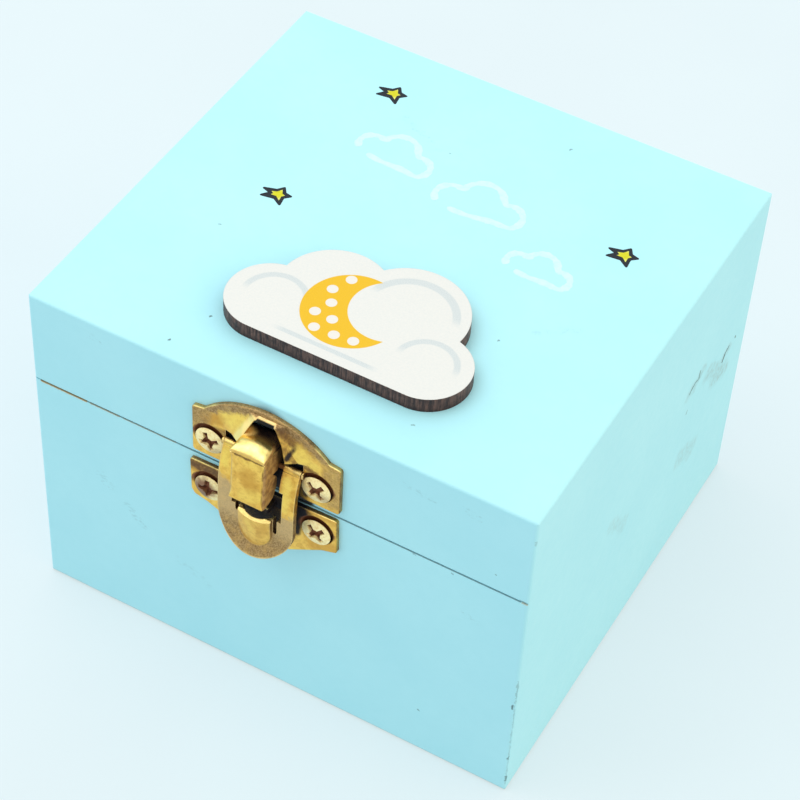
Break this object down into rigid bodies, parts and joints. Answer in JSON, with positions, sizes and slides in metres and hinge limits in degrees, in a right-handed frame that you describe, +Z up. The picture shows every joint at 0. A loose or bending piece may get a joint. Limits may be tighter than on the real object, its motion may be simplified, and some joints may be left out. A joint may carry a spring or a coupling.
{
  "type": "jack in the box",
  "caption": "Small painted wooden jack in the box with a hinged lid, a brass hasp latch, a wooden plaque on the lid and a turned figure on a coil spring inside.",
  "frame": {"origin": "middle of the underside of the box, where it stands", "axes": "+Z up, -Y out of the front that has the latch, +X to the right as seen from the front"},
  "size_m": [0.1, 0.1018, 0.078],
  "materials": {
    "painted_wood": "matte sky-blue paint on wood",
    "bare_wood": "bare sanded wood",
    "plaque_print": "white print with a yellow area, dark burnt edge",
    "aged_brass": "aged, tarnished in the hollows",
    "screw_steel": "pale plated, rust in the recess",
    "spring_steel": "bright wire",
    "jack_yellow": "satin paint",
    "jack_red": "satin paint",
    "jack_skin": "waxed wood",
    "felt": "wool felt"
  },
  "bodies": {
    "box": {"back_wall": "painted_wood", "base_panel": "bare_wood", "front_wall": "painted_wood", "hinge_body_screws": "screw_steel", "hinge_left_body_leaf": "aged_brass", "hinge_left_pin": "aged_brass", "hinge_right_body_leaf": "aged_brass", "hinge_right_pin": "aged_brass", "latch_keeper_plate": "aged_brass", "latch_keeper_screws": "screw_steel", "left_wall": "painted_wood", "right_wall": "painted_wood", "seat_screws": "screw_steel", "spring": "spring_steel", "spring_seat": "bare_wood"},
    "lid": {"lid_top": "painted_wood", "lid_front_rail": "painted_wood", "lid_back_rail": "painted_wood", "lid_left_rail": "painted_wood", "lid_right_rail": "painted_wood", "hinge_left_lid_leaf": "aged_brass", "hinge_right_lid_leaf": "aged_brass", "hinge_lid_screws": "screw_steel", "latch_lid_plate": "aged_brass", "latch_tongue": "aged_brass", "latch_hinge_pin": "aged_brass", "latch_lid_screws": "screw_steel", "plaque": "plaque_print"},
    "hasp": {"latch_hasp": "aged_brass"},
    "jack": {"jack_collar": "felt", "jack_hat": "jack_red", "jack_hat_bead": "jack_yellow", "jack_head": "jack_skin", "jack_nose": "jack_red", "jack_platform": "bare_wood", "jack_torso": "jack_yellow"}
  },
  "joints": [
    {"name": "lid_hinge", "type": "hinge", "parent": "box", "child": "lid", "pos_m": [0, 0.0465, 0.05422], "axis": [-1, 0, 0], "range_deg": [0, 98]},
    {"name": "hasp_hinge", "type": "hinge", "parent": "lid", "child": "hasp", "pos_m": [-0.00105, -0.048, 0.0622], "axis": [-1, 0, 0], "range_deg": [0, 90]},
    {"name": "jack_rise", "type": "slide", "parent": "box", "child": "jack", "axis": [0, 0, 1], "range_m": [0, 0.0787], "deforming": ["spring"]}
  ],
  "couplings": [
    {"joint": "jack_rise", "follows": "lid_hinge", "m_per_rad": 0.046}
  ]
}
